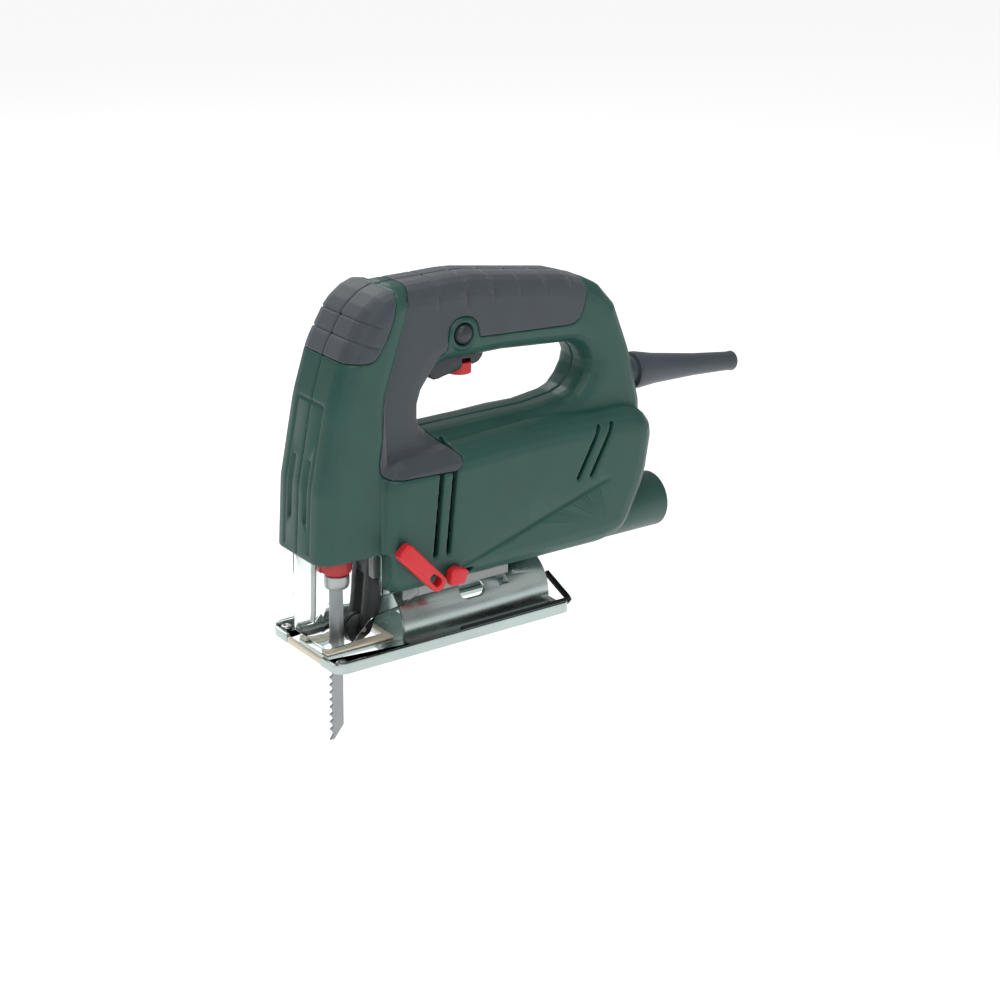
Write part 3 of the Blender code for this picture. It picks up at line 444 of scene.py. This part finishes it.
SCREW = metal("screw_zinc", (0.6, 0.62, 0.6), 0.3, 1.2, 0.01)
for side in ("left", "right"):
    edged(f"base_bolt_{side}", f"socket_bolt_{side}", SCREW, 0.2)
for number in range(1, 7):
    edged(f"housing_screw_{number}", f"shell_screw_{number}", SCREW, 0.15)

# ---------------------------------------------------------------- saddle and its clamp screw
# Die-cast alloy block under the shells that the tilt tube beds on, and the screw through it
# that a hexagon key reaches from below to clamp the tilt.

CAST = metal("die_cast_alloy", (0.38, 0.39, 0.39), 0.48, 1.4, 0.08)
STEEL = metal("turned_steel", (0.5, 0.5, 0.49), 0.3, 2.0, 0.01, (1.0, 1.0, 6.0))
edged("base_saddle", "saddle", CAST, 0.4)
edged("base_clamp_screw", "clamp_screw", STEEL, 0.25)

# ---------------------------------------------------------------- red levers
# Glossy red nylon: the pendulum selector, the blower slide, the blade release collar and
# the speed wheel, which has a milled rim for the finger.

RED = grained("red_nylon", (0.68, 0.018, 0.026), 0.3, 0.5, 0.02, 0.05)
edged("pendulum_lever", "pendulum_selector", RED, 0.5, 3)
edged("blower_slider", "blower_slide", RED, 0.4, 3)
edged("clamp_lever", "blade_release", RED, 0.4, 3)

WHEEL_RADIUS, WHEEL_DEPTH, RIB_COUNT, NOTCH_SHARE = 7.4 * MM, 7.0 * MM, 36, 0.945
WHEEL_BEVEL_MM = 0.25

wheel_corner, far_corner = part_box("speed_wheel")
wheel_middle = (wheel_corner + far_corner) / 2


def round_the_rim(point):
    """Sorting key: the angle round the wheel, then the height."""
    return math.atan2(point.co.y, point.co.x), point.co.z


rim = bmesh.new()
bmesh.ops.create_cone(
    rim,
    cap_ends=True,
    segments=2 * RIB_COUNT,
    radius1=WHEEL_RADIUS,
    radius2=WHEEL_RADIUS,
    depth=WHEEL_DEPTH,
)
for index, point in enumerate(sorted(rim.verts, key=round_the_rim)):
    if (index // 2) % 2:
        point.co.x *= NOTCH_SHARE
        point.co.y *= NOTCH_SHARE
bmesh.ops.translate(
    rim,
    verts=rim.verts,
    vec=(wheel_middle.x, wheel_middle.y, wheel_corner.z + WHEEL_DEPTH / 2),
)
wheel_data = bpy.data.meshes.new("milled_wheel")
rim.to_mesh(wheel_data)
rim.free()
wheel = bpy.data.objects.new("milled_wheel", wheel_data)
bpy.context.scene.collection.objects.link(wheel)
wheel_data.materials.append(RED)
broken = wheel.modifiers.new("broken_edges", "BEVEL")
broken.width = WHEEL_BEVEL_MM * MM
broken.segments = 2
broken.limit_method = "ANGLE"
settled(wheel)
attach(wheel, body_of["speed_wheel"])
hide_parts("speed_wheel")

# ---------------------------------------------------------------- trigger and lock button
# Dark plastic with the same matt grain as the grips. The button is pushed to hold the
# trigger in, and sits in a raised collar.

TRIGGER = grained("trigger_plastic", (0.03, 0.038, 0.046), 0.4, 0.6, 0.03)
edged("trigger", "finger_trigger", TRIGGER, 0.6, 3)
edged("lock_button", "lock_on_button", TRIGGER, 0.4, 3)

# ---------------------------------------------------------------- cable sleeve and dust port
# Rubber bend sleeve that tapers away from the handle, and the plastic socket at the back
# that an extraction hose pushes into.

SLEEVE = grained("sleeve_rubber", (0.045, 0.06, 0.075), 0.38, 1.0, 0.03, 0.06, 0.1)
edged("cable_sleeve", "bend_sleeve", SLEEVE, 0.5, 3)
edged("dust_port", "hose_socket", GREEN, 0.3)

# ---------------------------------------------------------------- blade, clamp and guide
# High-speed steel blade with ground sides, in a turned clamp. The fork and its grooved
# roller behind it are blackened.

BLADE = metal("ground_blade", (0.36, 0.37, 0.38), 0.3, 3.0, 0.015, (6.0, 1.0, 0.5))
BLACKENED = metal("blackened_steel", (0.045, 0.045, 0.048), 0.38, 2.0, 0.02)
edged("saw_blade", "blade", BLADE, 0.12)
edged("blade_clamp", "blade_holder", STEEL, 0.25)
edged("guide_fork", "roller_fork", BLACKENED, 0.35)
edged("guide_roller", "grooved_roller", BLACKENED, 0.2)
edged("roller_pin", "roller_axle", STEEL, 0.2)
edged("fork_pin", "fork_axle", STEEL, 0.2)
edged("finger_guard", "guard_rod", STEEL, 0.0)

# ---------------------------------------------------------------- clear guard
# Thin polycarbonate shield that clips on in front of the blade. It is moulded clear, so it
# shows mainly by the lines along its edges. A low refractive index keeps it from mirroring.

CLEAR_TINT, CLEAR_IOR = (0.93, 0.97, 0.96, 1.0), 1.15
HAZE_SCALE, HAZE_LOW, HAZE_HIGH = 120.0, 0.02, 0.1
CLEAR = bpy.data.materials.new("clear_shield")
CLEAR.use_nodes = True
clear_tree = CLEAR.node_tree
shield = clear_tree.nodes["Principled BSDF"]
shield.inputs["Base Color"].default_value = CLEAR_TINT
shield.inputs["Transmission Weight"].default_value = 1.0
shield.inputs["IOR"].default_value = CLEAR_IOR
haze_place = clear_tree.nodes.new("ShaderNodeTexCoord")
haze = clear_tree.nodes.new("ShaderNodeTexNoise")
haze.inputs["Scale"].default_value = HAZE_SCALE
haze_range = clear_tree.nodes.new("ShaderNodeMapRange")
haze_range.inputs["To Min"].default_value = HAZE_LOW
haze_range.inputs["To Max"].default_value = HAZE_HIGH
clear_tree.links.new(haze_place.outputs["Object"], haze.inputs["Vector"])
clear_tree.links.new(haze.outputs["Fac"], haze_range.inputs["Value"])
clear_tree.links.new(haze_range.outputs["Result"], shield.inputs["Roughness"])
edged("chip_guard", "clear_shield", CLEAR, 0.3)

# ---------------------------------------------------------------- hexagon key
# Blackened key, kept clipped along the near rail of the base.

edged("allen_key", "hexagon_key", BLACKENED, 0.0)

# ---------------------------------------------------------------- working parts inside
# Motor, gearing, switch and suction duct, seen only through the vents and the opening over
# the blade. They keep the shapes of the model and get their own finishes.

COPPER = metal("enamelled_copper", (0.72, 0.32, 0.14), 0.3, 1.0, 0.05, (1.0, 8.0, 8.0))
BRASS = metal("brass", (0.72, 0.52, 0.2), 0.3, 2.0, 0.02)
BRONZE = metal("sintered_bronze", (0.5, 0.33, 0.16), 0.5, 0.6, 0.03)
BLACK = grained("black_nylon", (0.022, 0.024, 0.026), 0.45, 0.6, 0.03)
CARBON = grained("pressed_carbon", (0.03, 0.03, 0.03), 0.75, 0.4, 0.05)
INSIDE = {
    "machined_steel": STEEL,
    "copper_winding": COPPER,
    "brass": BRASS,
    "sintered_bronze": BRONZE,
    "black_plastic": BLACK,
    "carbon": CARBON,
    "cast_alloy": CAST,
    "zinc_plated_steel": ZINC,
    "blackened_steel": BLACKENED,
}
for node, solid in frame["nodes"].items():
    if slot_of[node] in INSIDE:
        solid.data.materials.clear()
        solid.data.materials.append(INSIDE[slot_of[node]])
